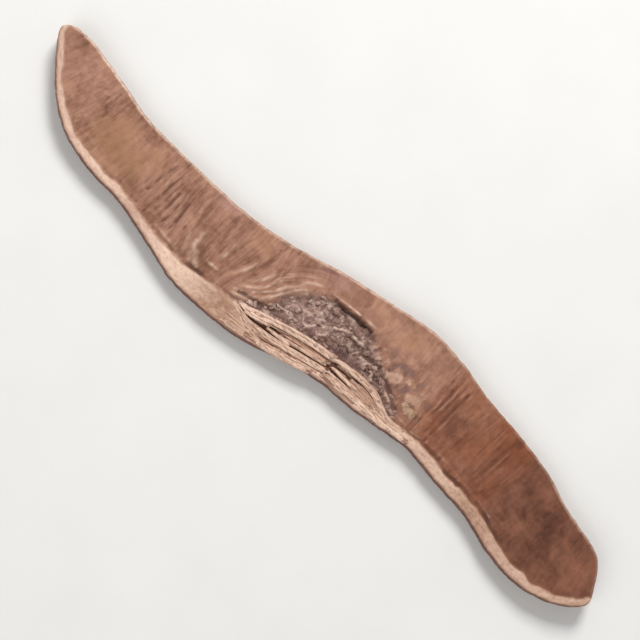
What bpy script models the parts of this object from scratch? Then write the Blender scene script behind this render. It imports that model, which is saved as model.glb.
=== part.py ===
"""One dried slice of a reishi mushroom cap, lying on its lower cut face.

X runs along the slice, Y across it from the crust to the pores, and Z up through its thickness.
The shape is worked out in millimetres on a flat drawing of the slice, then moved to its own frame.
"""

import bpy
import numpy as np

MM = 0.001

# Thickness and relief, in millimetres
THICKNESS = 2.8
EDGE_RADIUS = 0.38
RIM_RISE = 0.22
CREVICE_DEPTH = 0.55
TORN_DEPTH = 1.15
LIP_RISE = 0.3
GROOVE_DEPTH = 0.16
GROOVE_PITCH = 1.25
LUMP_HEIGHT = 0.32
LUMP_SIZE = 1.1
LEFT_LIFT = 2.1
RIGHT_LIFT = 1.5
HUMP_LIFT = 0.55

# Where the raised ends leave the table, along the slice
LEFT_LIFT_FROM = 38.0
RIGHT_LIFT_FROM = 104.0

# Outline of the cut face: the crust side, from the left tip to the right tip
CRUST_SIDE = [
    (2.2, -0.6), (5.4, -4.6), (10.6, -9.2), (16.0, -12.0), (22.5, -13.2), (31.0, -13.1),
    (40.0, -14.3), (46.8, -15.4), (55.0, -14.8), (63.0, -13.2), (70.0, -10.5), (77.5, -8.0),
    (85.0, -7.0), (91.0, -5.6), (96.0, -4.55), (104.0, -4.8), (112.0, -4.85), (118.5, -6.2),
    (125.5, -6.3), (132.0, -4.2),
]
# and back along the pore side
PORE_SIDE = [
    (136.8, 0.3), (135.4, 3.6), (132.3, 7.2), (127.5, 8.3), (122.0, 9.2), (117.0, 10.6),
    (109.0, 11.5), (99.0, 11.8), (92.0, 12.5), (85.0, 12.5), (75.0, 10.1), (65.0, 7.2),
    (57.0, 4.3), (47.0, 1.85), (35.0, 0.8), (24.0, 0.1), (15.0, 1.1), (6.5, 1.7), (3.2, 1.0),
]

# Width of the pale rim of flesh inside the crust: place along the slice, width
RIM_WIDTH = [
    (2.0, 1.2), (20.0, 1.6), (36.0, 1.9), (45.0, 2.7), (52.0, 3.8), (58.0, 4.0), (66.0, 2.2),
    (88.0, 1.9), (95.0, 2.1), (110.0, 2.2), (124.0, 2.0), (136.0, 1.2),
]

# The torn hollow: its upper ledge, then its lower edge back along the rim
TORN_LEDGE = [
    (53.5, -9.9), (57.0, -8.0), (60.6, -4.8), (61.5, -1.6), (63.3, 0.9), (65.8, 3.0),
    (70.0, 3.7), (77.3, 4.3), (80.7, 3.0), (84.0, 1.9), (87.5, 0.2), (91.0, -1.2), (94.0, -2.1),
]
TORN_RIM = [
    (94.0, -3.0), (89.0, -4.7), (84.0, -6.0), (77.0, -7.1), (70.0, -9.6), (65.5, -11.7),
    (61.5, -11.6), (57.5, -10.3), (54.0, -10.5),
]
# Width of the ledge's slope: steep at the left, fading out at the right
LEDGE_SLOPE = [(53.0, 0.9), (62.0, 0.8), (68.0, 0.45), (77.5, 0.5), (82.0, 1.6), (90.0, 2.2)]

# Broken fibres that stand along the hollow's lower side: points, half width, top against the cut face
FIBRES = [
    ([(58.3, -9.5), (64.0, -7.9), (70.5, -5.4), (76.3, -3.5)], 0.62, 0.02),
    ([(76.9, -3.5), (80.2, -2.7), (85.6, -2.6), (89.6, -3.9)], 0.55, -0.05),
    ([(77.0, -4.8), (80.6, -4.6), (84.5, -4.5)], 0.36, -0.25),
    ([(77.2, -5.9), (82.6, -5.5), (88.0, -4.6)], 0.42, -0.1),
    ([(64.4, -8.9), (67.4, -8.2)], 0.36, -0.2),
    ([(62.3, -10.8), (67.5, -9.5), (72.4, -7.9), (76.6, -6.5)], 0.5, 0.0),
    ([(66.8, -7.7), (71.5, -6.3), (75.8, -5.0)], 0.4, -0.3),
    ([(82.0, -5.2), (87.0, -4.4), (92.5, -3.9)], 0.6, 0.05),
]
# Curled shreds on the hollow's floor
SHREDS = [
    ([(66.4, 1.4), (69.0, 2.2), (72.2, 2.3)], 0.4, -0.6),
    ([(72.4, 0.4), (74.6, 1.5), (77.8, 1.7)], 0.42, -0.45),
    ([(64.2, -2.6), (67.5, -1.4), (71.0, -1.2)], 0.45, -0.65),
    ([(60.9, -5.6), (63.8, -4.4), (66.8, -4.1)], 0.45, -0.6),
    ([(79.0, 0.0), (82.2, 0.5), (85.0, -0.6)], 0.42, -0.5),
    ([(70.2, -3.6), (74.0, -1.9), (78.5, -0.9)], 0.38, -0.7),
]
# Dark gaps: points, half width, depth below the surface round them
GAPS = [
    ([(65.8, 2.4), (70.0, 3.0), (77.2, 3.6)], 0.5, 0.4),
    ([(77.8, 1.2), (80.8, 0.9), (82.6, 1.3)], 0.45, 0.35),
    ([(53.0, -10.6), (58.0, -8.9), (62.0, -7.2)], 0.5, 0.35),
    ([(49.2, -8.9), (51.0, -8.7), (52.6, -8.5)], 0.4, 0.4),
]

# Stretches where the tube layer is grooved across: start, end, strength
GROOVED = [
    (14.0, 20.0, 0.8), (31.0, 42.0, 1.0), (48.5, 60.0, 0.7), (84.0, 113.0, 0.9), (119.0, 128.0, 0.5),
]
CREVICE_FROM, CREVICE_TO = 90.0, 128.0

# Fineness of the mesh before it is thinned out
CURVE_STEPS = 24
STATION_SPACING = 0.42
END_LENGTH = 3.0
END_STATIONS = 8
TOP_COLUMNS = 72
BOTTOM_COLUMNS = 16
WALL_ROWS = 3
WALL_BULGE = 0.2
TRIANGLES = 9700

TUBE_BROWN = (0.30, 0.155, 0.095, 1.0)
ROUGHNESS = 0.78


def smooth_curve(points, steps, closed=False):
    """A centripetal Catmull-Rom curve through the points."""
    points = np.array(points, float)
    if closed:
        padded = np.vstack([points[-1:], points, points[:2]])
    else:
        padded = np.vstack([2 * points[0] - points[1], points, 2 * points[-1] - points[-2]])
    curve = []
    for p0, p1, p2, p3 in zip(padded, padded[1:], padded[2:], padded[3:]):
        t1 = np.linalg.norm(p1 - p0) ** 0.5
        t2 = t1 + np.linalg.norm(p2 - p1) ** 0.5
        t3 = t2 + np.linalg.norm(p3 - p2) ** 0.5
        for t in np.linspace(t1, t2, steps, endpoint=False):
            a1 = ((t1 - t) * p0 + t * p1) / t1
            a2 = ((t2 - t) * p1 + (t - t1) * p2) / (t2 - t1)
            a3 = ((t3 - t) * p2 + (t - t2) * p3) / (t3 - t2)
            b1 = ((t2 - t) * a1 + t * a2) / t2
            b2 = ((t3 - t) * a2 + (t - t1) * a3) / (t3 - t1)
            curve.append(((t2 - t) * b1 + (t - t1) * b2) / (t2 - t1))
    if not closed:
        curve.append(points[-1])
    return np.array(curve)


def along(table, x):
    """A table's value at x, with straight stretches between its points."""
    places, values = zip(*table)
    return np.interp(x, places, values)


def smoothstep(low, high, value):
    t = np.clip((value - low) / (high - low), 0, 1)
    return t * t * (3 - 2 * t)


def window(x, start, end, fade):
    return smoothstep(start - fade, start + fade, x) * (1 - smoothstep(end - fade, end + fade, x))


def distance_to(curve, x, y):
    """Distance from each point to the nearest stretch of a curve."""
    nearest = np.full(x.shape, np.inf)
    for a, b in zip(curve, curve[1:]):
        run = b - a
        share = ((x - a[0]) * run[0] + (y - a[1]) * run[1]) / max(run @ run, 1e-12)
        share = np.clip(share, 0, 1)
        gap = np.hypot(x - a[0] - share * run[0], y - a[1] - share * run[1])
        nearest = np.minimum(nearest, gap)
    return nearest


def inside(curve, x, y):
    """Whether each point lies inside a closed curve."""
    result = np.zeros(x.shape, bool)
    for a, b in zip(curve, np.roll(curve, -1, axis=0)):
        if a[1] == b[1]:
            continue
        crossing = (a[1] > y) != (b[1] > y)
        result ^= crossing & (x < a[0] + (y - a[1]) * (b[0] - a[0]) / (b[1] - a[1]))
    return result


def lattice_value(i, j, seed):
    """A repeatable number from 0 to 1 for each lattice point."""
    mixed = np.sin(i * 127.1 + j * 311.7 + seed * 74.7) * 43758.5453
    return mixed - np.floor(mixed)


def noise(x, y, size, seed):
    """Smooth noise from -1 to 1 whose lumps are about size across."""
    x = x / size
    y = y / size
    i = np.floor(x)
    j = np.floor(y)
    u = smoothstep(0, 1, x - i)
    v = smoothstep(0, 1, y - j)
    low = lattice_value(i, j, seed) * (1 - u) + lattice_value(i + 1, j, seed) * u
    high = lattice_value(i, j + 1, seed) * (1 - u) + lattice_value(i + 1, j + 1, seed) * u
    return 2 * (low * (1 - v) + high * v) - 1


def outline():
    """The crust side and the pore side of the cut face, each from the left tip to the right one."""
    curve = smooth_curve(CRUST_SIDE + PORE_SIDE, CURVE_STEPS, closed=True)
    curve = np.roll(curve, -curve[:, 0].argmin(), axis=0)
    right = curve[:, 0].argmax()
    crust = curve[: right + 1]
    pores = np.vstack([curve[right:], curve[:1]])[::-1]
    return crust, pores


def ridges(height, x, y, rows, floor):
    """Raises rounded ridges with broken ends from the floor to their own tops."""
    for points, half_width, top in rows:
        gap = distance_to(smooth_curve(points, 6), x, y)
        crown = np.sqrt(np.clip(1 - (gap / half_width) ** 2, 0, 1))
        height = np.where(gap < half_width, np.maximum(height, floor + (top - floor) * crown), height)
    return height


def relief(x, y, crust_distance):
    """Height of the upper cut face above or below its own plane."""
    ledge = smooth_curve(TORN_LEDGE, 8)
    torn = np.vstack([ledge, smooth_curve(TORN_RIM, 8)])
    torn_distance = distance_to(np.vstack([torn, torn[:1]]), x, y)
    in_torn = inside(torn, x, y)
    depth = np.where(in_torn, smoothstep(0, 1, torn_distance / along(LEDGE_SLOPE, x)), 0)

    rim_width = along(RIM_WIDTH, x)
    rim = 1 - smoothstep(rim_width - 0.3, rim_width + 0.2, crust_distance)
    height = RIM_RISE * rim
    cut = window(x, CREVICE_FROM, CREVICE_TO, 2.5) + 0.35 * window(x, 24, 50, 3)
    height = height - CREVICE_DEPTH * cut * np.clip(1 - ((crust_distance - rim_width - 0.3) / 0.45) ** 2, 0, 1)

    # The tube layer: grooves across it, and slow swells
    strength = sum(share * window(x, start, end, 1.0) for start, end, share in GROOVED)
    sway = 0.5 * noise(x, y, 9.0, 3) + 0.14 * noise(x, y, 2.5, 4)
    groove = np.clip(np.sin(2 * np.pi * (x + sway) / GROOVE_PITCH), -0.6, 1)
    tubes = 1 - smoothstep(-0.6, 0.2, rim_width + 1.2 - crust_distance)
    height = height + (0.06 * noise(x, y, 8.0, 5) - 0.5 * GROOVE_DEPTH * strength * (1 + groove)) * tubes

    # The lip over the hollow's ledge, then the torn floor with its lumps
    lip = window(x, 65, 78, 1.5) * (1 - smoothstep(0.1, 1.1, torn_distance)) * ~in_torn * (y > -2)
    height = height + LIP_RISE * lip
    lumps = LUMP_HEIGHT * noise(x, y, LUMP_SIZE, 7) + 0.15 * noise(x, y, 0.6, 8)
    height = height * (1 - depth) + (lumps - TORN_DEPTH) * depth
    for points, half_width, drop in GAPS:
        gap = distance_to(smooth_curve(points, 6), x, y)
        height = height - drop * np.clip(1 - (gap / half_width) ** 2, 0, 1)
    height = ridges(height, x, y, SHREDS, -TORN_DEPTH - 0.2)
    return ridges(height, x, y, FIBRES, -TORN_DEPTH)


def lift(x, y):
    """How far the slice's lower face stands off the table, where drying has curled it up."""
    left = LEFT_LIFT * np.clip((LEFT_LIFT_FROM - x) / LEFT_LIFT_FROM, 0, 1) ** 2
    right = RIGHT_LIFT * np.clip((x - RIGHT_LIFT_FROM) / 33.0, 0, 1) ** 2
    hump = HUMP_LIFT * window(x, 76, 100, 9) * smoothstep(6.5, 13.0, y) ** 2
    return left + right + hump


def edge_drop(edge_distance):
    """A quarter round along the edge of a cut face."""
    t = np.clip(1 - edge_distance / EDGE_RADIUS, 0, 1)
    return EDGE_RADIUS * (1 - np.sqrt(1 - t * t))


def stations(start, end):
    """Places along the slice for its rings, closer together at the rounded tips."""
    turn = np.linspace(0, np.pi / 2, END_STATIONS, endpoint=False)
    tip = END_LENGTH * (1 - np.cos(turn))
    tip[0] = 0.02
    count = int((end - start - 2 * END_LENGTH) / STATION_SPACING)
    middle = np.linspace(start + END_LENGTH, end - END_LENGTH, count)
    return np.concatenate([start + tip, middle, (end - tip)[::-1]])


def outward(curve):
    """Unit normals along a curve that runs left to right, pointing to its right-hand side."""
    run = np.gradient(curve, axis=0)
    return np.stack([run[:, 1], -run[:, 0]], axis=1) / np.hypot(run[:, 0], run[:, 1])[:, None]


def wall(curve, side, x, top, bottom):
    """Rows of points down the side of the slice, bulging a little between its cut faces."""
    y = np.interp(x, curve[:, 0], curve[:, 1])
    normal = outward(curve) * side
    normal = np.stack([np.interp(x, curve[:, 0], normal[:, k]) for k in (0, 1)], axis=1)
    rows = []
    for row in range(1, WALL_ROWS + 1):
        share = row / (WALL_ROWS + 1)
        bulge = WALL_BULGE * np.sin(np.pi * share) * (1 + 0.5 * noise(x, 0 * x + row, 2.3, 11 + side))
        bulge = bulge * np.clip((x - x[0]) / 1.5, 0, 1) * np.clip((x[-1] - x) / 1.5, 0, 1)
        z = top + (bottom - top) * share
        rows.append(np.stack([x + normal[:, 0] * bulge, y + normal[:, 1] * bulge, z], axis=1))
    return np.stack(rows, axis=1)


def sheet(x, low, high, columns):
    """Points across the slice at each station, closer together at its two edges."""
    share = np.linspace(0, 1, columns)
    share = share - 0.11 * np.sin(2 * np.pi * share)
    y = low[:, None] + (high - low)[:, None] * share
    return np.repeat(x[:, None], columns, axis=1), y


def slice_points():
    """Rings of points round the slice, one ring at each station."""
    crust, pores = outline()
    x = stations(crust[0, 0], crust[-1, 0])
    low = np.interp(x, crust[:, 0], crust[:, 1])
    high = np.interp(x, pores[:, 0], pores[:, 1])

    top_x, top_y = sheet(x, low, high, TOP_COLUMNS)
    to_crust = distance_to(crust, top_x, top_y)
    to_edge = np.minimum(to_crust, distance_to(pores, top_x, top_y))
    top_z = THICKNESS + lift(top_x, top_y) + relief(top_x, top_y, to_crust) - edge_drop(to_edge)
    top = np.stack([top_x, top_y, top_z], axis=2)

    under_x, under_y = sheet(x, low, high, BOTTOM_COLUMNS)
    to_edge = np.minimum(distance_to(crust, under_x, under_y), distance_to(pores, under_x, under_y))
    under_z = lift(under_x, under_y) + edge_drop(to_edge)
    under = np.stack([under_x, under_y, under_z], axis=2)

    pore_wall = wall(pores, -1, x, top_z[:, -1], under_z[:, -1])
    crust_wall = wall(crust, 1, x, top_z[:, 0], under_z[:, 0])
    return np.concatenate([top, pore_wall, under[:, ::-1], crust_wall[:, ::-1]], axis=1)


def solid_mesh(rings):
    """Joins the rings into one closed mesh, each end closed by a fan round its middle."""
    count, around, _ = rings.shape
    points = rings.reshape(-1, 3)
    middles = np.array([rings[0].mean(axis=0), rings[-1].mean(axis=0)])
    points = np.vstack([points, middles])
    faces = []
    for i in range(count - 1):
        for j in range(around):
            k = (j + 1) % around
            a, b = i * around + j, i * around + k
            faces.append((a, a + around, b + around, b))
    last = (count - 1) * around
    for j in range(around):
        k = (j + 1) % around
        faces.append((count * around, j, k))
        faces.append((count * around + 1, last + k, last + j))
    mesh = bpy.data.meshes.new("reishi_slice")
    mesh.from_pydata((points * MM).tolist(), [], faces)
    mesh.validate()
    return mesh


def thin_out(piece):
    """Keeps triangles where the relief needs them, then sets what nearly touches the table on it."""
    piece.data.calc_loop_triangles()
    thinner = piece.modifiers.new("thin_out", "DECIMATE")
    thinner.ratio = TRIANGLES / len(piece.data.loop_triangles)
    graph = bpy.context.evaluated_depsgraph_get()
    mesh = bpy.data.meshes.new_from_object(piece.evaluated_get(graph))
    piece.modifiers.clear()
    coarse = piece.data
    piece.data = mesh
    bpy.data.meshes.remove(coarse)
    mesh.name = "reishi_slice"
    for vertex in mesh.vertices:
        if vertex.co.z < 0.02 * MM:
            vertex.co.z = 0


def centre(piece):
    """Moves the mesh so that its origin is at the middle of its box's base."""
    corners = np.array([vertex.co for vertex in piece.data.vertices])
    low, high = corners.min(axis=0), corners.max(axis=0)
    shift = np.array([(low[0] + high[0]) / 2, (low[1] + high[1]) / 2, low[2]])
    for vertex in piece.data.vertices:
        vertex.co = vertex.co - type(vertex.co)(shift)


def flesh():
    """The dry brown of the tube layer, which covers most of the slice."""
    material = bpy.data.materials.new("reishi_flesh")
    material.use_nodes = True
    shader = material.node_tree.nodes["Principled BSDF"]
    shader.inputs["Base Color"].default_value = TUBE_BROWN
    shader.inputs["Roughness"].default_value = ROUGHNESS
    shader.inputs["Metallic"].default_value = 0.0
    material.diffuse_color = TUBE_BROWN
    return material


def main():
    for item in list(bpy.data.objects):
        bpy.data.objects.remove(item)
    piece = bpy.data.objects.new("reishi_slice", solid_mesh(slice_points()))
    bpy.context.scene.collection.objects.link(piece)
    thin_out(piece)
    centre(piece)
    piece.data.materials.clear()
    piece.data.materials.append(flesh())
    piece.data.shade_smooth()


main()
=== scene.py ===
"""The looks of one dried reishi slice: its finely detailed surface, loose fibres and crumbs, floor, light and camera.

The slice is drawn in millimetres on a flat plan, with X along it, Y across it from the crust to the pores and Z up.
"""

import bmesh
import bpy
import numpy as np
from mathutils import Matrix, Vector


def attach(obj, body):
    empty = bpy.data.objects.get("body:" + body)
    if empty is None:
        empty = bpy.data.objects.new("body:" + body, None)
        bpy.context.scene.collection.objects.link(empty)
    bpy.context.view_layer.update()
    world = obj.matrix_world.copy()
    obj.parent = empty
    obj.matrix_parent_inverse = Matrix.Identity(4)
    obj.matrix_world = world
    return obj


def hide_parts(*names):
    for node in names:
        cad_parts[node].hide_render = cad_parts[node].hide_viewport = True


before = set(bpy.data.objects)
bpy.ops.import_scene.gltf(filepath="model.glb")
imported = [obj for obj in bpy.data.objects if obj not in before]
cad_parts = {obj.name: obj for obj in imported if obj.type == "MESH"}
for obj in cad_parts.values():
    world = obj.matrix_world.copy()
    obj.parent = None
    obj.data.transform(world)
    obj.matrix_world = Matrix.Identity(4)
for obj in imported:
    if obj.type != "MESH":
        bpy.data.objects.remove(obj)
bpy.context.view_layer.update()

MM = 0.001
NODE = "reishi_slice"

# Thickness and relief, in millimetres
THICKNESS = 2.8
EDGE_RADIUS = 0.34
RIM_RISE = 0.15
CREVICE_DEPTH = 0.28
CREVICE_HALF_WIDTH = 0.45
TORN_DEPTH = [(53.0, 0.5), (58.0, 0.8), (64.0, 1.1), (78.0, 1.1), (84.0, 0.8), (90.0, 0.45), (94.0, 0.3)]
FIBRE_BED = 0.75
FRAYED_RISE = 0.17
STEP_RISE = 0.06
STROKE_DEPTH = 0.14
STROKE_HALF_WIDTH = 0.27
STROKE_SHIFT = 0.52
WALL_BULGE = 0.2
LEFT_LIFT = 2.1
RIGHT_LIFT = 1.5
HUMP_LIFT = 0.55
LEFT_LIFT_FROM = 38.0
RIGHT_LIFT_FROM = 104.0

# Outline of the cut face: the crust side, from the left tip to the right tip
CRUST_SIDE = [
    (2.2, -0.6), (5.4, -4.6), (10.6, -9.2), (16.0, -12.0), (22.5, -13.2), (31.0, -13.1),
    (40.0, -14.3), (46.8, -15.4), (55.0, -14.8), (63.0, -13.2), (70.0, -10.5), (77.5, -8.0),
    (85.0, -7.0), (91.0, -5.6), (96.0, -4.55), (104.0, -4.8), (112.0, -4.85), (118.5, -6.2),
    (125.5, -6.3), (132.0, -4.2),
]
# and back along the pore side
PORE_SIDE = [
    (136.8, 0.3), (135.4, 3.6), (132.3, 7.2), (127.5, 8.3), (122.0, 9.2), (117.0, 10.6),
    (109.0, 11.5), (99.0, 11.8), (92.0, 12.5), (85.0, 12.5), (75.0, 10.1), (65.0, 7.2),
    (57.0, 4.3), (47.0, 1.85), (35.0, 0.8), (24.0, 0.1), (15.0, 1.1), (6.5, 1.7), (3.2, 1.0),
]
OUTLINE_WAVER = 0.06

# Width of the pale rim of flesh inside the crust: place along the slice, width
RIM_WIDTH = [
    (2.0, 1.2), (20.0, 1.6), (36.0, 1.8), (41.0, 2.1), (46.0, 3.3), (50.0, 4.2), (54.0, 4.6), (58.0, 4.5),
    (62.0, 3.4), (66.0, 2.3), (88.0, 1.9), (95.0, 2.1), (110.0, 2.2), (124.0, 2.0), (136.0, 1.2),
]

# The torn hollow: its upper ledge, then its lower edge back along the rim
TORN_LEDGE = [
    (53.5, -9.9), (57.0, -8.0), (60.2, -4.8), (61.4, -1.6), (63.3, 0.9), (65.8, 2.9),
    (70.0, 3.8), (77.0, 4.8), (80.2, 3.8), (84.0, 2.2), (87.5, 0.4), (91.0, -1.1), (94.0, -2.1),
]
TORN_RIM = [
    (94.0, -3.0), (89.0, -4.7), (84.0, -6.0), (77.0, -7.1), (70.0, -9.6), (65.5, -11.7),
    (61.5, -11.6), (57.5, -10.3), (54.0, -10.5),
]
LEDGE_SLOPE = [(53.0, 1.8), (62.0, 3.0), (66.5, 2.2), (70.0, 0.7), (76.5, 0.7), (80.0, 2.2), (90.0, 3.0)]
# Where the hollow's bare floor ends and its standing fibres begin
FIBRE_TOP = [
    (53.0, -10.4), (56.0, -9.6), (60.3, -9.0), (64.0, -7.4), (69.3, -5.1), (76.0, -3.0), (80.0, -2.2),
    (85.6, -2.0), (89.3, -3.3), (95.0, -3.3),
]

# Broken fibres that stand along the hollow's lower side: points, half width, top against the cut face, paleness
FIBRES = [
    ([(58.3, -9.5), (64.3, -7.2), (70.0, -5.2), (76.3, -3.6)], 0.62, 0.05, 0.85),
    ([(66.0, -7.5), (71.0, -6.1), (76.0, -4.8)], 0.4, -0.35, 0.1),
    ([(66.8, -8.1), (71.0, -6.9), (75.8, -5.5)], 0.34, -0.12, 0.55),
    ([(59.8, -9.6), (62.0, -8.9), (64.2, -8.1)], 0.46, 0.1, 1.0),
    ([(64.5, -8.7), (67.0, -8.3), (69.2, -7.9)], 0.28, -0.05, 0.8),
    ([(60.6, -10.6), (66.0, -9.6), (71.4, -8.0), (76.6, -6.4)], 0.55, 0.02, 0.75),
    ([(62.8, -12.2), (67.0, -11.2), (71.0, -9.9), (75.0, -8.2)], 0.5, 0.08, 0.7),
    ([(76.9, -3.5), (80.9, -2.7), (84.2, -2.5), (88.4, -3.4), (90.0, -4.2)], 0.5, 0.05, 0.65),
    ([(77.2, -4.9), (79.6, -4.8), (81.9, -4.7)], 0.3, -0.02, 0.85),
    ([(77.2, -5.9), (79.0, -5.8), (80.6, -5.7)], 0.3, -0.05, 0.75),
    ([(81.0, -3.8), (84.4, -3.6), (88.6, -4.4)], 0.5, -0.2, 0.05),
    ([(81.8, -4.9), (85.0, -4.7), (88.0, -4.8)], 0.36, -0.16, 0.15),
    ([(80.6, -6.5), (84.0, -5.8), (88.4, -5.5), (92.6, -4.6), (95.0, -4.1)], 0.55, 0.1, 1.0),
    ([(76.8, -7.2), (80.0, -7.0), (84.0, -6.3)], 0.4, 0.0, 0.6),
]
# Curled shreds on the hollow's floor, the same way
SHREDS = [
    ([(66.4, 1.4), (69.0, 2.2), (72.2, 2.3)], 0.24, -0.75, 0.6),
    ([(72.2, 0.1), (74.2, 1.3), (77.8, 1.6)], 0.3, -0.5, 1.0),
    ([(64.2, -2.6), (67.5, -1.4), (71.0, -1.2)], 0.3, -0.8, 0.6),
    ([(60.9, -5.6), (63.8, -4.4), (66.8, -4.1)], 0.26, -0.7, 0.7),
    ([(79.0, 0.0), (82.2, 0.5), (85.0, -0.6)], 0.26, -0.6, 0.5),
]
# Gaps, painted dark as shade: points, half width, depth below the surface round them
GAPS = [
    ([(69.0, 3.4), (71.4, 3.65), (74.2, 4.1), (77.0, 4.4)], 0.42, 0.35),
    ([(77.6, 1.3), (79.4, 0.4), (80.8, 0.9), (82.4, 1.2)], 0.7, 0.2),
    ([(81.4, -0.5), (83.2, -0.6), (84.6, -0.5)], 0.4, 0.3),
    ([(85.2, 0.3), (87.4, -0.6), (89.4, -1.7)], 0.7, 0.2),
    ([(56.6, -8.2), (58.8, -7.4), (60.4, -6.9), (62.4, -5.9)], 0.55, 0.26),
    ([(63.3, -11.4), (67.5, -10.2), (72.2, -8.4), (74.6, -7.5)], 0.26, 0.5),
    ([(82.6, -4.5), (86.0, -4.3), (89.4, -4.6)], 0.34, 0.25),
]
# Pale strands where the tubes fray beside the hollow and stand on the rim: points, half width, strength
FRAYED = [
    ([(66.4, 3.6), (64.6, 2.7), (62.9, 1.2), (61.2, -1.4)], 0.34, 0.9),
    ([(62.2, -0.4), (60.4, -3.6), (58.2, -6.5), (55.8, -8.5)], 0.42, 1.2),
    ([(65.0, 1.6), (63.1, -0.4), (61.9, -2.8), (60.0, -5.8), (57.6, -8.0), (54.8, -9.6)], 0.38, 1.3),
    ([(64.9, -0.6), (63.4, -3.4), (61.6, -6.0), (59.6, -8.0)], 0.36, 0.9),
    ([(61.6, 0.8), (60.0, -1.6), (58.9, -4.2), (57.2, -6.2), (54.8, -7.9)], 0.45, 1.0),
    ([(58.6, -0.8), (57.8, -3.6), (56.2, -6.0)], 0.45, 0.9),
    ([(57.4, -7.2), (56.2, -8.0), (55.0, -8.6)], 0.45, 1.3),
    ([(54.9, -2.2), (54.4, -4.8), (53.4, -7.0)], 0.5, 0.9),
    ([(50.0, -2.6), (50.2, -4.9), (50.1, -7.2)], 0.6, 0.75),
    ([(43.4, -7.0), (44.0, -9.2), (45.2, -11.6)], 0.6, 0.7),
    ([(44.8, -5.4), (45.1, -7.6), (45.8, -9.6), (47.0, -11.5)], 0.95, 1.15),
    ([(46.3, -8.4), (47.0, -9.9), (48.5, -11.2)], 0.9, 1.05),
    ([(67.4, 3.7), (71.0, 4.4), (74.2, 4.9), (77.4, 5.3)], 0.26, 1.3),
    ([(84.0, 3.4), (86.2, 2.2), (88.6, 1.6)], 0.34, 0.7),
    ([(88.6, -1.9), (91.4, -2.2), (94.6, -2.3), (96.6, -1.6)], 0.3, 0.8),
    ([(96.8, 0.4), (100.6, 0.2), (104.6, -0.2), (109.6, -0.5)], 0.6, 0.3),
    ([(96.0, -0.9), (101.2, -1.1), (106.4, -1.3), (112.0, -1.6), (118.6, -2.9)], 0.42, 0.42),
    ([(66.2, 3.4), (65.0, 2.8), (63.4, 1.4), (62.2, -0.6)], 0.26, 1.0),
]
# Where the tubes are drawn together towards the crust: place along, reach, share
PINCH_AT, PINCH_REACH, PINCH = 49.6, 9.5, 0.42
# Small pale steps in the tube layer, each with a painted shadow line under it: points, half width
STEPS = [
    ([(37.8, -11.1), (41.0, -11.3), (44.4, -11.5)], 0.36),
    ([(48.5, -8.8), (50.0, -8.6), (51.8, -8.2)], 0.33),
]
STEP_SHADOW = 0.6
# The mottled patch where the hollow runs out at the right: middle, reach along and across
MOTTLED = (85.5, 1.6, 8.5, 4.2)
# Pale granules at the hollow's right end: middle, reach along and across
GRANULES = (91.5, 0.0, 1.9, 1.1)

# How tan the rim is along the slice, from 0 where it is palest
RIM_TAN_SHARE = [
    (4.0, 0.5), (22.0, 0.3), (28.0, 0.2), (34.0, 0.75), (38.0, 0.3), (44.0, 0.15), (49.0, 0.35), (53.0, 0.9),
    (56.0, 1.25), (64.0, 0.7), (78.0, 0.2), (90.0, 0.2), (97.0, 0.55), (104.0, 0.55), (108.0, 0.95), (112.0, 1.1),
    (118.0, 0.85), (126.0, 0.6), (136.0, 0.9),
]

# Rows of open tube mouths that streak the face: place along, upper end, lower end, strength
STROKES = [
    (10.4, -0.6, -4.0, 0.3), (13.8, -1.0, -5.2, 0.35), (16.2, -1.4, -4.4, 0.6), (17.3, -1.2, -5.4, 0.7),
    (18.3, -1.6, -6.5, 0.5), (19.4, -1.4, -4.6, 0.45), (21.2, -2.2, -6.0, 0.25), (24.6, -1.6, -5.0, 0.2),
    (28.2, -2.6, -9.0, 0.2), (30.8, -1.3, -4.6, 0.4), (32.6, -3.9, -9.8, 0.8), (33.5, -1.4, -5.6, 0.65),
    (34.7, -1.9, -8.8, 0.8), (35.6, -4.5, -9.8, 0.7), (36.5, -2.6, -10.2, 1.0), (37.6, -4.2, -10.4, 0.85),
    (38.1, -1.2, -4.6, 0.6), (38.9, -2.8, -10.2, 1.0), (39.8, -1.6, -6.2, 0.6), (40.5, -2.4, -9.0, 0.7),
    (41.6, -0.8, -5.0, 0.7), (43.4, -1.2, -5.4, 0.35), (45.9, -1.6, -7.0, 0.3), (49.2, -2.6, -8.0, 0.55),
    (51.4, -1.8, -7.2, 0.5), (53.1, -0.6, -5.4, 0.5), (55.2, 0.8, -3.4, 0.35), (57.0, 0.6, -5.4, 0.5),
    (59.4, 2.0, -3.0, 0.4), (73.4, 8.8, 5.8, 0.2), (78.2, 9.8, 5.6, 0.3), (83.6, 10.6, 4.6, 0.25),
    (86.6, 10.8, 3.2, 0.3), (88.8, 9.4, 2.4, 0.35), (91.4, 8.0, 0.8, 0.3), (93.6, 10.8, -2.2, 0.65),
    (94.7, 11.2, 1.6, 0.85), (95.7, 10.6, -1.5, 0.6), (96.8, 10.4, -2.2, 0.95), (97.9, 6.0, -0.5, 0.5),
    (100.6, 10.6, 5.2, 0.35), (102.4, 9.4, 1.0, 0.2), (105.8, 9.8, 0.6, 0.35), (107.0, 8.8, -0.6, 0.45),
    (108.2, 10.2, 0.0, 0.6), (109.3, 8.0, -1.0, 0.4), (111.2, 9.6, -1.6, 0.45), (113.3, 7.6, -1.0, 0.3),
    (118.6, 6.0, -1.6, 0.25), (123.8, 6.6, -1.0, 0.25),
]
# Stretches where faint streaks crowd between them: start, end, strength
STREAKED = [(10.0, 31.5, 0.16), (15.5, 20.5, 0.16), (31.5, 43.0, 0.4), (44.5, 61.0, 0.34), (92.0, 113.0, 0.34)]
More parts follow.
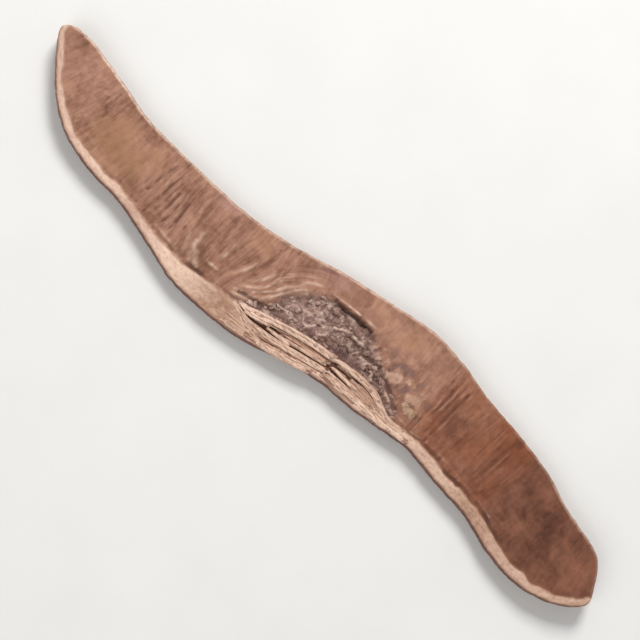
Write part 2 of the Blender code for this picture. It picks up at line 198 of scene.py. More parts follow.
# Soft patches of another tone in the tubes and on the floor: middle, reach along and across, lightness, yellowness
PATCHES = [
    (12.0, -3.4, 4.0, 3.0, 0.4, -0.5), (19.0, -5.2, 3.6, 3.2, -0.7, 0.0), (24.5, -6.0, 5.5, 3.4, 0.0, 0.7),
    (24.5, -8.2, 5.0, 1.5, -0.6, 0.4), (25.0, -4.0, 4.5, 1.8, 0.4, 0.2), (24.0, -11.0, 5.0, 1.0, 0.6, 0.6),
    (29.5, -2.6, 3.0, 1.6, 0.6, 0.4),
    (36.5, -7.5, 3.5, 3.5, -0.3, -0.2), (45.0, 0.2, 3.5, 1.4, 0.2, -1.0), (49.5, -9.6, 3.5, 1.4, -0.9, 0.3),
    (53.5, 1.2, 4.0, 1.6, 0.1, 0.5), (58.0, 2.4, 3.0, 1.4, 0.2, -0.3), (66.5, 6.2, 6.0, 1.3, -0.2, -1.0),
    (74.5, 8.2, 3.0, 1.4, 0.4, 0.4), (80.0, 7.2, 4.2, 2.6, 1.0, 0.5), (87.0, 8.6, 4.4, 2.6, 0.6, 0.0),
    (91.6, 5.0, 3.0, 3.0, 0.2, 0.3), (97.6, 2.4, 2.6, 4.4, -1.0, 0.0), (105.2, 4.6, 2.8, 3.0, 0.5, 0.4),
    (98.8, 8.8, 2.4, 2.4, 0.7, 0.4), (96.2, 2.6, 1.3, 3.6, -0.8, 0.0), (101.8, 5.0, 1.2, 4.0, -0.6, 0.0), (108.0, 7.6, 1.0, 3.2, -0.9, 0.0),
    (110.6, 4.6, 1.4, 4.2, 0.4, 0.0),
    (112.5, 8.0, 4.0, 2.0, -0.3, 0.0), (117.2, 3.6, 3.6, 3.6, -0.4, -0.2), (122.6, 4.0, 3.6, 3.4, -1.0, 0.2),
    (128.5, 1.5, 3.5, 2.4, 0.4, 0.0), (133.0, 3.4, 3.0, 3.0, 0.9, 0.2), (76.2, -1.2, 2.8, 1.6, -1.2, -0.6),
    (85.0, -0.8, 3.4, 1.4, -1.0, -0.6), (65.6, -0.6, 3.0, 2.4, 0.6, 0.0), (118.0, 8.0, 5.0, 2.0, 0.3, 0.0),
    (119.0, 0.6, 2.4, 1.8, 0.5, 0.0), (125.0, -2.6, 3.0, 1.2, -0.4, 0.0), (112.4, 0.8, 2.0, 1.6, 0.3, -0.2),
]
# How clearly a painted highlight follows the pore edge, along the slice
EDGE_HIGHLIGHT = [
    (2.0, 0.4), (12.0, 0.95), (22.0, 0.85), (28.0, 0.6), (42.0, 0.55), (50.0, 0.3), (60.0, 0.45), (68.0, 0.65),
    (84.0, 0.5), (94.0, 0.2), (105.0, 0.1), (112.0, 0.25), (120.0, 0.45), (128.0, 0.3), (136.0, 0.2),
]
# Stretches where a crevice, painted dark as shade, parts the rim from the tubes: start, end, strength
CREVICES = [(23.0, 45.0, 0.35), (46.5, 60.0, 0.8), (92.0, 119.5, 0.8), (121.0, 131.0, 0.35)]

# Fineness of the surface
CURVE_STEPS = 24
COARSE_STEP = 0.21
FINE_STEP = 0.165
FINE_FROM, FINE_TO = 52.0, 95.0
END_LENGTH = 3.0
END_STATIONS = 12
TOP_COLUMNS = 102
BOTTOM_COLUMNS = 20
WALL_ROWS = 6

# Colours, as they are on screen
TUBE_LIGHT = "b98a72"
TUBE_DEEP = "7c523f"
TUBE_DARK = "5d3626"
TUBE_PINK = "bd9083"
TUBE_PINK_DEEP = "95685b"
TUBE_YELLOW = "ab7e5c"
TUBE_RUST = "96502a"
TUBE_FAR_LIGHT = "925f48"
TUBE_FAR_DEEP = "522d1f"
RIM_PALE = "f9d8c2"
RIM_CREAM = "e4bea6"
RIM_TAN = "ac8269"
RIM_BROWN = "94705b"
RIM_PINK = "e6bfb2"
TORN_BROWN = "96756a"
TORN_PALE = "cdb0a1"
TORN_DARK = "644a44"
PAINTED_SHADE = "553a31"
BRUISE = "7a5c55"
GRANULE_PALE = "cfab86"
FIBRE_PALE = "f0cfb8"
FIBRE_MID = "c59c84"
FIBRE_BROWN = "8f6857"
CRUST_RED = "7a4330"
CRUST_DARK = "45231a"
PORE_TAN = "b08a70"
PORE_DARK = "5a3b2c"
FLOOR_WHITE = "f1f0ee"
FLOOR_GREY = "e9e8e5"


def smooth_curve(points, steps, closed=False):
    """A centripetal Catmull-Rom curve through the points."""
    points = np.array(points, float)
    if closed:
        padded = np.vstack([points[-1:], points, points[:2]])
    else:
        padded = np.vstack([2 * points[0] - points[1], points, 2 * points[-1] - points[-2]])
    curve = []
    for p0, p1, p2, p3 in zip(padded, padded[1:], padded[2:], padded[3:]):
        t1 = np.linalg.norm(p1 - p0) ** 0.5
        t2 = t1 + np.linalg.norm(p2 - p1) ** 0.5
        t3 = t2 + np.linalg.norm(p3 - p2) ** 0.5
        for t in np.linspace(t1, t2, steps, endpoint=False):
            a1 = ((t1 - t) * p0 + t * p1) / t1
            a2 = ((t2 - t) * p1 + (t - t1) * p2) / (t2 - t1)
            a3 = ((t3 - t) * p2 + (t - t2) * p3) / (t3 - t2)
            b1 = ((t2 - t) * a1 + t * a2) / t2
            b2 = ((t3 - t) * a2 + (t - t1) * a3) / (t3 - t1)
            curve.append(((t2 - t) * b1 + (t - t1) * b2) / (t2 - t1))
    if not closed:
        curve.append(points[-1])
    return np.array(curve)


def along(table, x):
    """A table's value at x, with straight stretches between its points."""
    places, values = zip(*table)
    return np.interp(x, places, values)


def smoothstep(low, high, value):
    t = np.clip((value - low) / (high - low), 0, 1)
    return t * t * (3 - 2 * t)


def window(x, start, end, fade):
    return smoothstep(start - fade, start + fade, x) * (1 - smoothstep(end - fade, end + fade, x))


def windows(x, rows, fade):
    """The sum of several windows, each with its own strength."""
    return sum(strength * window(x, start, end, fade) for start, end, strength in rows)


def beside(curve, x, y):
    """Each point's distance to a curve, and how far along the curve its nearest place is, from 0 to 1."""
    nearest = np.full(x.shape, np.inf)
    travel = np.zeros(x.shape)
    count = len(curve) - 1
    for number, (a, b) in enumerate(zip(curve, curve[1:])):
        run = b - a
        share = ((x - a[0]) * run[0] + (y - a[1]) * run[1]) / max(run @ run, 1e-12)
        share = np.clip(share, 0, 1)
        gap = np.hypot(x - a[0] - share * run[0], y - a[1] - share * run[1])
        travel = np.where(gap < nearest, (number + share) / count, travel)
        nearest = np.minimum(nearest, gap)
    return nearest, travel


def distance_to(curve, x, y):
    return beside(curve, x, y)[0]


def inside(curve, x, y):
    """Whether each point lies inside a closed curve."""
    result = np.zeros(x.shape, bool)
    for a, b in zip(curve, np.roll(curve, -1, axis=0)):
        if a[1] == b[1]:
            continue
        crossing = (a[1] > y) != (b[1] > y)
        result ^= crossing & (x < a[0] + (y - a[1]) * (b[0] - a[0]) / (b[1] - a[1]))
    return result


def lattice_value(i, j, seed):
    """A repeatable number from 0 to 1 for each lattice point."""
    mixed = np.sin(i * 127.1 + j * 311.7 + seed * 74.7) * 43758.5453
    return mixed - np.floor(mixed)


def noise(x, y, size, seed):
    """Smooth noise from -1 to 1 whose lumps are about size across."""
    x = x / size
    y = y / size
    i = np.floor(x)
    j = np.floor(y)
    u = smoothstep(0, 1, x - i)
    v = smoothstep(0, 1, y - j)
    low = lattice_value(i, j, seed) * (1 - u) + lattice_value(i + 1, j, seed) * u
    high = lattice_value(i, j + 1, seed) * (1 - u) + lattice_value(i + 1, j + 1, seed) * u
    return 2 * (low * (1 - v) + high * v) - 1


def rough(x, y, size, seed, octaves=3):
    """Noise with finer noise on it, each layer turned against the last."""
    total = 0
    for octave in range(octaves):
        total = total + noise(x, y, size / 2 ** octave, seed + 17 * octave) / 2 ** octave
        x, y = 0.8 * x - 0.6 * y, 0.6 * x + 0.8 * y
    return total / 1.5


def curls(x, y, size, seed):
    """Narrow winding crests from 0 to 1, like curled shreds."""
    x, y = 0.79 * x - 0.61 * y, 0.61 * x + 0.79 * y
    swirl = noise(x, y, size, seed) + 0.35 * noise(x, y, 0.5 * size, seed + 1)
    return np.clip(1 - 1.9 * np.abs(swirl), 0, 1)


def outline():
    """The crust side and the pore side of the cut face, each from the left tip to the right one."""
    curve = smooth_curve(CRUST_SIDE + PORE_SIDE, CURVE_STEPS, closed=True)
    curve = np.roll(curve, -curve[:, 0].argmin(), axis=0)
    right = curve[:, 0].argmax()
    crust = curve[: right + 1]
    pores = np.vstack([curve[right:], curve[:1]])[::-1]
    return crust, pores


def wavered(curve, seed):
    """The same side with a fine unevenness, none at its tips."""
    x = curve[:, 0]
    fade = np.clip((x - x[0]) / 4, 0, 1) * np.clip((x[-1] - x) / 4, 0, 1)
    waver = noise(x, 0 * x, 1.1, seed) + 0.7 * noise(x, 0 * x, 2.9, seed + 1)
    return np.stack([x, curve[:, 1] + OUTLINE_WAVER * waver * fade], axis=1)


CRUST, PORES = outline()
MIDDLE = np.array([
    (CRUST[:, 0].min() + CRUST[:, 0].max()) / 2,
    (CRUST[:, 1].min() + PORES[:, 1].max()) / 2,
    0.0,
])
CRUST, PORES = wavered(CRUST, 96), wavered(PORES, 98)
TORN = np.vstack([smooth_curve(TORN_LEDGE, 8), smooth_curve(TORN_RIM, 8)])


def crust_at(x):
    return np.interp(x, CRUST[:, 0], CRUST[:, 1])


def pores_at(x):
    return np.interp(x, PORES[:, 0], PORES[:, 1])


def grain_of(x, y):
    """Place along the slice, the same all along one tube: tubes lean with the slope of the crust."""
    slope = np.clip((crust_at(x + 4) - crust_at(x - 4)) / 8, -0.4, 0.4) * 0.5
    leaning = x + slope * (y - (crust_at(x) + pores_at(x)) / 2)
    drawn = PINCH * smoothstep(1.0, -11.0, y) * np.exp(-(((x - PINCH_AT) / PINCH_REACH) ** 2))
    return PINCH_AT + (leaning - PINCH_AT) / (1 - drawn)


def strokes(x, y, grain):
    """Dark rows of open tube mouths, up to 1, each with a pale one beside it, down to -0.7."""
    sway = grain + 0.14 * noise(x, y, 4.0, 3) + 0.05 * noise(x, y, 1.2, 4)
    faint = 0.22 + windows(grain, STREAKED, 1.0)
    dark = faint * smoothstep(0.1, 0.9, noise(sway, 0.16 * y, 0.55, 80))
    pale = np.zeros(x.shape)
    for place, upper, lower, strength in STROKES:
        span = strength * window(y, lower, upper, 1.3)
        dark = np.maximum(dark, span * np.exp(-(((sway - place) / STROKE_HALF_WIDTH) ** 2)))
        beside_it = (sway - place - STROKE_SHIFT) / STROKE_HALF_WIDTH
        pale = np.maximum(pale, span * np.exp(-(beside_it ** 2)))
    worn = np.clip(0.9 + 0.5 * noise(grain, y, 1.3, 81) + 0.45 * noise(x, y, 0.5, 82), 0, 1.3)
    return worn * (dark - 0.7 * pale)


def frayed(x, y):
    """Pale frayed strands, thinning out to their ends."""
    mask = np.zeros(x.shape)
    for number, (points, half_width, strength) in enumerate(FRAYED):
        gap, travel = beside(smooth_curve(points, 6), x, y)
        gap = gap + 0.14 * noise(x, y, 0.7, 100 + number)
        fade = np.clip(4 * travel * (1 - travel), 0, 1)
        worn = np.clip(0.6 + 0.5 * rough(x, y, 1.2, 130 + number), 0, 1)
        mask = np.maximum(mask, strength * fade ** 0.4 * worn * np.exp(-1.6 * (gap / half_width) ** 2))
    return mask


def toned(x, y):
    """How light and how yellow the tubes and the floor are at each place, about 0 on average."""
    light = 0.55 * rough(x, y, 3.4, 140)
    yellow = 0.45 * rough(x, y, 4.4, 141)
    bent_x = x + 1.2 * noise(x, y, 3.0, 142)
    bent_y = y + 0.9 * noise(x, y, 2.4, 143)
    for middle_x, middle_y, reach_x, reach_y, lightness, yellowness in PATCHES:
        near = np.exp(-(((bent_x - middle_x) / reach_x) ** 2) - ((bent_y - middle_y) / reach_y) ** 2)
        light = light + lightness * near
        yellow = yellow + yellowness * near
    return np.clip(light, -1, 1), np.clip(yellow, -1, 1)


def ridges(height, x, y, rows, floor):
    """Raises rounded ridges with ragged broken ends from the floor, and tells where they are and how pale."""
    mask = np.zeros(x.shape)
    pale = np.zeros(x.shape)
    for number, (points, half_width, top, paleness) in enumerate(rows):
        gap = distance_to(smooth_curve(points, 6), x, y)
        half = half_width * (1 + 0.22 * noise(x, y, 0.9, 31 + number))
        crown = np.sqrt(np.clip(1 - (gap / half) ** 2, 0, 1))
        strands = 0.1 * noise(0.16 * x, gap, 0.13, 47 + number)
        raised = floor + (top - floor + strands) * crown
        above = (gap < half) & (raised > height)
        height = np.where(above, raised, height)
        pale = np.where(above, paleness, pale)
        mask = np.maximum(mask, smoothstep(0, 0.6, crown))
    return height, mask, pale


def cut_face(x, y):
    """Height of the upper cut face against its own plane, and what each place on it is made of."""
    to_crust = distance_to(CRUST, x, y)
    to_pores = distance_to(PORES, x, y)
    grain = grain_of(x, y)
    tatter = 1 + 2.4 * smoothstep(77.0, 83.0, x)
    ragged = tatter * (0.36 * rough(x, y, 1.2, 61) + 0.16 * noise(x, y, 0.42, 62))
    torn_distance = distance_to(np.vstack([TORN, TORN[:1]]), x, y)
    signed = np.where(inside(TORN, x, y), torn_distance, -torn_distance)
    torn = smoothstep(0, 1, (signed + ragged) / along(LEDGE_SLOPE, x))

    rim_width = along(RIM_WIDTH, x) + 0.26 * noise(x, y, 2.2, 63) + 0.1 * noise(x, y, 0.7, 64)
    rim = 1 - smoothstep(rim_width - 0.55, rim_width + 0.4, to_crust)
    height = RIM_RISE * rim * (1 + 0.3 * rough(0.4 * x, to_crust, 0.5, 65))
    height = height + 0.09 * rim * rough(0.6 * x, to_crust, 0.75, 74)
    inward = to_crust - rim_width
    cut = windows(x, CREVICES, 1.8) * (0.75 + 0.5 * noise(x, 0 * x, 1.9, 66))
    crevice = np.clip(1 - ((inward - 0.35) / CREVICE_HALF_WIDTH) ** 2, 0, 1) * np.clip(cut, 0, 1)
    height = height - CREVICE_DEPTH * crevice

    # The tube layer: strokes across it, fine ribs, slow swells and frayed strands
    tubes = smoothstep(-0.1, 0.6, inward) * (1 - torn)
    stroke = strokes(x, y, grain) * tubes
    ribs = 0.5 + 0.5 * noise(grain, 0.16 * y, 0.42, 69)
    swell = 0.08 * noise(x, y, 8.0, 5) + 0.06 * rough(x, y, 2.4, 6)
    height = height + (swell - 0.07 * ribs) * tubes - STROKE_DEPTH * stroke
    strand_mask = frayed(x, y)
    follow = 0.5 * x + 0.86 * y
    brushed = rough(0.14 * follow, signed + 0.1 * noise(x, y, 1.6, 22), 0.6, 20, 3)
    brushed = brushed * window(signed, -4.0, 1.5, 1.2) * window(x, 56.0, 66.0, 2.0) * (inward > 0)
    height = height + 0.07 * brushed
    for points, half_width in STEPS:
        curve = smooth_curve(points, 6)
        broken = 0.16 * noise(x, y, 0.6, 70)
        gap, travel = beside(curve, x, y)
        fade = np.sqrt(np.clip(4 * travel * (1 - travel), 0, 1))
        step = fade * np.exp(-(((gap + broken) / half_width) ** 2))
        # A painted shadow under each step, darkened through the stroke mask
        below = fade * np.exp(-(((distance_to(curve, x, y + STEP_SHADOW) + broken) / half_width) ** 2))
        height = height + STEP_RISE * (step - below)
        strand_mask = np.maximum(strand_mask, (0.6 + 0.4 * noise(x, y, 1.0, 68)) * step)
        stroke = np.maximum(stroke, (0.5 + 0.3 * noise(x, y, 1.3, 67)) * below)

    # Where the hollow runs out: patches of torn floor and granules
    mottled = np.exp(-(((x - MOTTLED[0]) / MOTTLED[2]) ** 2) - ((y - MOTTLED[1]) / MOTTLED[3]) ** 2)
    fleck = mottled * np.clip(2.4 * rough(x, y, 1.5, 17, 5), -1, 1) * (1 - 0.6 * torn)
    granule = np.exp(-(((x - GRANULES[0]) / GRANULES[2]) ** 2) - ((y - GRANULES[1]) / GRANULES[3]) ** 2)
    granule = smoothstep(0.1, 0.9, granule * (0.85 + 0.8 * rough(x, y, 0.9, 18)))
    rust = 0.32 * window(x, 93.0, 112.0, 2.5) * np.clip(0.9 + 0.7 * rough(x, y, 3.0, 19), 0, 1.5)
    height = height + 0.16 * fleck + 0.1 * granule

    # The torn floor with its lumps and curls, its gaps and its standing fibres
    curl = np.maximum(curls(x, y, 1.9, 7), 0.7 * curls(x, y, 1.1, 12)) * smoothstep(-0.6, 0.2, noise(x, y, 1.9, 13))
    lumps = 0.3 * rough(x, y, 1.3, 8, 4) + 0.3 * curl
    bed = torn * smoothstep(-0.4, 0.4, along(FIBRE_TOP, x) - y)
    combed = 0.22 * noise(0.2 * x, y - 0.36 * x, 0.4, 14)
    depth = along(TORN_DEPTH, x)
    floor = (lumps - depth) * (1 - bed) + (combed - FIBRE_BED) * bed
    height = height * (1 - torn) + floor * torn + FRAYED_RISE * np.minimum(strand_mask, 0.9)
    # The gaps sink below the floor; the material paints shade into them and into the crevice beside the rim
    gaps = np.zeros(x.shape)
    for points, half_width, drop in GAPS:
        gap = distance_to(smooth_curve(points, 6), x, y) + 0.22 * half_width * noise(x, y, 0.7, 71)
        gap = np.clip(1 - (gap / half_width) ** 2, 0, 1)
        height = height - drop * gap
        gaps = np.maximum(gaps, gap)
    height, shred, shred_pale = ridges(height, x, y, SHREDS, -depth - 0.2)
    height, fibre, fibre_pale = ridges(height, x, y, FIBRES, -depth)
    light, yellow = toned(x, y)
    return height, {
        "rim": rim * (1 - torn), "torn": torn, "bed": bed, "fibre": fibre, "stroke": stroke,
        "brushed": brushed, "gap": np.maximum(gaps, 0.8 * crevice), "frayed": strand_mask * (1 - 0.35 * torn),
        "fleck": fleck, "granule": granule, "rust": rust, "tan": along(RIM_TAN_SHARE, x), "light": light, "yellow": yellow,
        "streaky": 0.6 + 1.6 * windows(grain, STREAKED, 1.5), "edge_highlight": along(EDGE_HIGHLIGHT, x),
        "curl": np.maximum(0.8 * curl, shred * shred_pale) * torn * (1 - bed) * (1 + 0.5 * np.minimum(light, 0)),
        "fibre_pale": fibre_pale,
        "to_crust": to_crust, "to_pores": to_pores,
    }


def lift(x, y):
    """How far the slice's lower face stands off the table, where drying has curled it up."""
    left = LEFT_LIFT * np.clip((LEFT_LIFT_FROM - x) / LEFT_LIFT_FROM, 0, 1) ** 2
    right = RIGHT_LIFT * np.clip((x - RIGHT_LIFT_FROM) / 33.0, 0, 1) ** 2
    hump = HUMP_LIFT * window(x, 76, 100, 9) * smoothstep(6.5, 13.0, y) ** 2
    return left + right + hump


def edge_drop(edge_distance, x, y):
    """A quarter round along the edge of a cut face, chipped here and there."""
    radius = EDGE_RADIUS * (1 + 0.45 * noise(x, y, 1.6, 72) + 0.25 * noise(x, y, 0.5, 73))
    t = np.clip(1 - edge_distance / radius, 0, 1)
    return radius * (1 - np.sqrt(1 - t * t))


def stations():
    """Places along the slice for its rings, closer together at the hollow and at the rounded tips."""
    start, end = CRUST[0, 0], CRUST[-1, 0]
    turn = np.linspace(0, np.pi / 2, END_STATIONS, endpoint=False)
    tip = END_LENGTH * (1 - np.cos(turn))
    tip[0] = 0.02
    before = np.arange(start + END_LENGTH, FINE_FROM, COARSE_STEP)
    middle = np.arange(FINE_FROM, FINE_TO, FINE_STEP)
    after = np.arange(FINE_TO, end - END_LENGTH, COARSE_STEP)
    return np.concatenate([start + tip, before, middle, after, (end - tip)[::-1]])


def shares(columns):
    """Places across the slice from 0 to 1, closer together at its two edges."""
    share = np.linspace(0, 1, columns)
    return share - 0.09 * np.sin(2 * np.pi * share)


def blurred(grid, passes):
    """The grid with each value mixed into its neighbours."""
    for _ in range(passes):
        for axis in (0, 1):
            padded = np.pad(grid, [(1, 1) if axis == k else (0, 0) for k in (0, 1)], "edge")
            size = grid.shape[axis]
            grid = sum(np.take(padded, np.arange(size) + k, axis=axis) for k in range(3)) / 3
    return grid


class CutFace:
    """The upper cut face as a grid of points: rows along the slice, columns across it."""

    def __init__(self):
        self.stations = stations()
        self.shares = shares(TOP_COLUMNS)
        low, high = crust_at(self.stations), pores_at(self.stations)
        self.x = np.repeat(self.stations[:, None], TOP_COLUMNS, axis=1)
        self.y = low[:, None] + (high - low)[:, None] * self.shares
        height, self.parts = cut_face(self.x, self.y)
        edge = np.minimum(self.parts["to_crust"], self.parts["to_pores"])
        relief = height - edge_drop(edge, self.x, self.y)
        self.z = THICKNESS + lift(self.x, self.y) + relief
        # How far each place stands above or below its surroundings; the material paints shade in hollows and highlight
        # on crests from it
        fine = np.clip((relief - blurred(relief, 8)) / 0.16, -1, 1)
        broad = np.clip((relief - blurred(relief, 60)) / 0.6, -1, 1)
        # Less painted highlight along the torn ledge
        ledge = np.exp(-((distance_to(smooth_curve(TORN_LEDGE, 8), self.x, self.y) / 0.9) ** 2))
        fine = np.minimum(fine, 1 - 0.75 * ledge)
        self.parts["raised"] = 0.5 + 0.3 * fine + 0.2 * np.minimum(broad, 0.1)

    def height_at(self, x, y):
        """Height of the surface over the table at any place on it."""
        row = np.interp(x, self.stations, np.arange(len(self.stations)))
        share = (y - crust_at(x)) / (pores_at(x) - crust_at(x))
        column = np.interp(share, self.shares, np.arange(TOP_COLUMNS))
        i = np.minimum(row.astype(int), len(self.stations) - 2)
        j = np.minimum(column.astype(int), TOP_COLUMNS - 2)
        u, v = row - i, column - j
        low = self.z[i, j] * (1 - u) + self.z[i + 1, j] * u
        high = self.z[i, j + 1] * (1 - u) + self.z[i + 1, j + 1] * u
        return low * (1 - v) + high * v


def outward(curve, x):
    """Unit normals along a curve that runs left to right, pointing to its right-hand side."""
    run = np.gradient(curve, axis=0)
    normal = np.stack([run[:, 1], -run[:, 0]], axis=1) / np.hypot(run[:, 0], run[:, 1])[:, None]
    return np.stack([np.interp(x, curve[:, 0], normal[:, k]) for k in (0, 1)], axis=1)


def wall(curve, side, x, top, bottom):
    """Rows of points down the side of the slice, bulging and wrinkled between its cut faces."""
    y = np.interp(x, curve[:, 0], curve[:, 1])
    normal = outward(curve, x) * side
    tips = np.clip((x - x[0]) / 1.5, 0, 1) * np.clip((x[-1] - x) / 1.5, 0, 1)
    rows = []
    for row in range(1, WALL_ROWS + 1):
        share = row / (WALL_ROWS + 1)
        down = np.full(x.shape, share * THICKNESS)
        bulge = WALL_BULGE * np.sin(np.pi * share) * (1 + 0.4 * rough(x, down, 3.1, 11 + side))
        bulge = (bulge + 0.05 * noise(x, down, 0.5, 74 + side) - 0.03) * tips
        z = top + (bottom - top) * share
        rows.append(np.stack([x + normal[:, 0] * bulge, y + normal[:, 1] * bulge, z], axis=1))
    return np.stack(rows, axis=1)


def to_frame(points):
    """From millimetres on the plan to metres in the frame."""
    return (points - MIDDLE) * MM


def put_attributes(mesh, values):
    """Stores what the materials read, one value for each vertex."""
    for name, data in values.items():
        kind = "FLOAT_VECTOR" if data.ndim == 2 else "FLOAT"
        attribute = mesh.attributes.new(name, kind, "POINT")
        attribute.data.foreach_set("vector" if data.ndim == 2 else "value", data.astype(np.float32).ravel())


def slice_mesh(face):
    """The whole closed surface of the slice, from its upper cut face round its two sides and underneath."""
    x = face.stations
    low, high = crust_at(x), pores_at(x)
    top = np.stack([face.x, face.y, face.z], axis=2)

    under_x = np.repeat(x[:, None], BOTTOM_COLUMNS, axis=1)
    under_y = low[:, None] + (high - low)[:, None] * shares(BOTTOM_COLUMNS)
    under_crust = distance_to(CRUST, under_x, under_y)
    under_pores = distance_to(PORES, under_x, under_y)
    edge = np.minimum(under_crust, under_pores)
    worn = 0.05 * (0.5 + 0.5 * noise(under_x, 0.2 * under_y, 0.6, 76))
    under_z = lift(under_x, under_y) + edge_drop(edge, under_x, under_y + 40) + worn
    under = np.stack([under_x, under_y, under_z], axis=2)[:, ::-1]
    under_rim = 1 - smoothstep(-0.25, 0.25, under_crust - along(RIM_WIDTH, under_x))

    pore_wall = wall(PORES, -1, x, face.z[:, -1], under_z[:, -1])
    crust_wall = wall(CRUST, 1, x, face.z[:, 0], under_z[:, 0])[:, ::-1]
    rings = np.concatenate([top, pore_wall, under, crust_wall], axis=1)
    count, around, _ = rings.shape
    points = np.vstack([rings.reshape(-1, 3), [rings[0].mean(axis=0), rings[-1].mean(axis=0)]])

    # On the walls and underneath, each value is the one given here
    elsewhere = {
        "rim": (under_rim, 0, 0), "raised": (0.5, 0.5, 0.5), "streaky": (0.9, 0.9, 0.9),
        "to_crust": (under_crust, 9, 0), "to_pores": (under_pores, 0, 9),
    }
    values = {}
    for name, on_top in face.parts.items():
        on_under, on_pores, on_crust = elsewhere.get(name, (0, 0, 0))
        grids = [
            on_top, np.full((count, WALL_ROWS), on_pores),
            np.broadcast_to(on_under, under_x.shape)[:, ::-1], np.full((count, WALL_ROWS), on_crust),
        ]
        grid = np.concatenate(grids, axis=1)
        values[name] = np.concatenate([grid.ravel(), [grid[0].mean(), grid[-1].mean()]])
    values["place"] = points
    values["grain"] = np.stack([grain_of(points[:, 0], points[:, 1]), points[:, 1], points[:, 2]], axis=1)
    values["layer"] = np.stack([points[:, 0], values["to_crust"], points[:, 2]], axis=1)

    faces, surfaces = [], []
    pore_start = TOP_COLUMNS - 1
    under_start = TOP_COLUMNS + WALL_ROWS
    crust_start = under_start + BOTTOM_COLUMNS - 1
    for i in range(count - 1):
        for j in range(around):
            k = (j + 1) % around
            a, b = i * around + j, i * around + k
            faces.append((a, a + around, b + around, b))
            on_pores = pore_start <= j < under_start
            surfaces.append(2 if on_pores else 1 if j >= crust_start else 0)
    last = (count - 1) * around
    for j in range(around):
        k = (j + 1) % around
        faces.append((count * around, j, k))
        faces.append((count * around + 1, last + k, last + j))
        surfaces += [1, 1]
    mesh = bpy.data.meshes.new("slice_surface")
    mesh.from_pydata(to_frame(points).tolist(), [], faces)
    mesh.polygons.foreach_set("material_index", surfaces)
    put_attributes(mesh, values)
    mesh.shade_smooth()
    return mesh


def strand(path, half_width, half_height, draws, sides=8, square=0.0, jag=0.0, lumpy=0.16):
    """Points and faces of one closed strand along a path, with an uneven section and a jagged far end."""
    count = len(path)
    run = np.gradient(path, axis=0)
    run /= np.linalg.norm(run, axis=1)[:, None]
    across = np.cross(run, [0, 0, 1])
    across /= np.linalg.norm(across, axis=1)[:, None]
    up = np.cross(across, run)
    turn = (np.arange(sides) + 0.5) * 2 * np.pi / sides
    box = (np.abs(np.cos(turn)) ** 6 + np.abs(np.sin(turn)) ** 6) ** (-1 / 6)
    section = (1 - square + square * box) * draws.uniform(0.8, 1.2, sides)
    travel = np.linspace(0, np.linalg.norm(np.diff(path, axis=0), axis=1).sum(), count)
    lumps = 1 + lumpy * noise(travel[:, None] + draws.uniform(0, 99), turn[None, :], 0.7, 6)
    wide = (half_width[:, None] * lumps * np.cos(turn) * section)[:, :, None] * across[:, None, :]
    tall = (half_height[:, None] * lumps * np.sin(turn) * section)[:, :, None] * up[:, None, :]
    rings = path[:, None, :] + wide + tall
    rings[-1] += run[-1] * draws.uniform(-jag, jag, sides)[:, None]
    points = np.vstack([rings.reshape(-1, 3), path[:1], path[-1:]])
    faces = []
    for i in range(count - 1):
        for j in range(sides):
            k = (j + 1) % sides
            faces.append((i * sides + j, i * sides + k, (i + 1) * sides + k, (i + 1) * sides + j))
    last = (count - 1) * sides
    for j in range(sides):
        k = (j + 1) % sides
        faces.append((count * sides, k, j))
        faces.append((count * sides + 1, last + j, last + k))
    return points, faces


def joined(parts, name):
    """One mesh from many small closed ones, with a number for each that its material reads."""
    points, faces, numbers = [], [], []
    start = 0
    for some_points, some_faces, number in parts:
        points.append(some_points)
        faces += [tuple(corner + start for corner in face) for face in some_faces]
        start += len(some_points)
        numbers.append(np.full(len(some_points), number))
    points = np.vstack(points)
    mesh = bpy.data.meshes.new(name)
    mesh.from_pydata(to_frame(points).tolist(), [], faces)
    put_attributes(mesh, {"number": np.concatenate(numbers), "place": points})
    mesh.shade_smooth()
    return mesh


def resampled(curve, start, end, step):
    """The stretch of a curve between two shares of its length, in even steps."""
    lengths = np.concatenate([[0], np.cumsum(np.linalg.norm(np.diff(curve, axis=0), axis=1))])
    places = np.linspace(start, end, max(5, int((end - start) * lengths[-1] / step))) * lengths[-1]
    return np.stack([np.interp(places, lengths, curve[:, k]) for k in (0, 1)], axis=1)


def splinter(path, z, half_width, half_height, draws, number):
    """One split piece of flesh, rooted at the left and snapped off square at the right."""
    share = np.linspace(0, 1, len(path))
    swell = 0.35 + 0.65 * smoothstep(0, 0.22, share)
    snapped = 1 - 0.25 * smoothstep(0.97, 1.0, share)
    spine = np.column_stack([path, z - 0.35 * (1 - smoothstep(0, 0.25, share))])
    jag = min(0.22, 1.2 * half_width)
    body = strand(spine, half_width * swell * snapped, half_height * swell, draws, 8, 0.8, jag)
    return (*body, number)


def main_splinters(draws):
    """Each standing fibre as broad splinters with thin ones along their sides, their broken ends uneven."""
    made = []
    for points, half_width, top, paleness in FIBRES:
        curve = smooth_curve(points, 10)
        normal = np.gradient(curve, axis=0)
        normal = np.stack([-normal[:, 1], normal[:, 0]], axis=1) / np.linalg.norm(normal, axis=1)[:, None]
        broad = [(-0.42, 0.52), (0.4, 0.48)] if half_width > 0.38 else [(0.0, 0.8)]
        thin = [(draws.uniform(-1.0, 1.0), draws.uniform(0.14, 0.26)) for _ in range(4)]
        for offset, share in broad + thin:
            beside_it = curve + normal * half_width * offset
            path = resampled(beside_it, draws.uniform(0.0, 0.12), 1 - draws.uniform(0.0, 0.06), 0.3)
            sunk = 0.1 * offset ** 2 + draws.uniform(0.0, 0.1)
            wave = 0.06 * noise(path[:, 0], 0 * path[:, 0] + offset, 1.9, 15)
            z = THICKNESS + top - sunk + wave
            pale = np.clip(paleness + draws.uniform(-0.15, 0.1), 0, 1)
            made.append(splinter(path, z, share * half_width, 0.2, draws, pale))
    return made


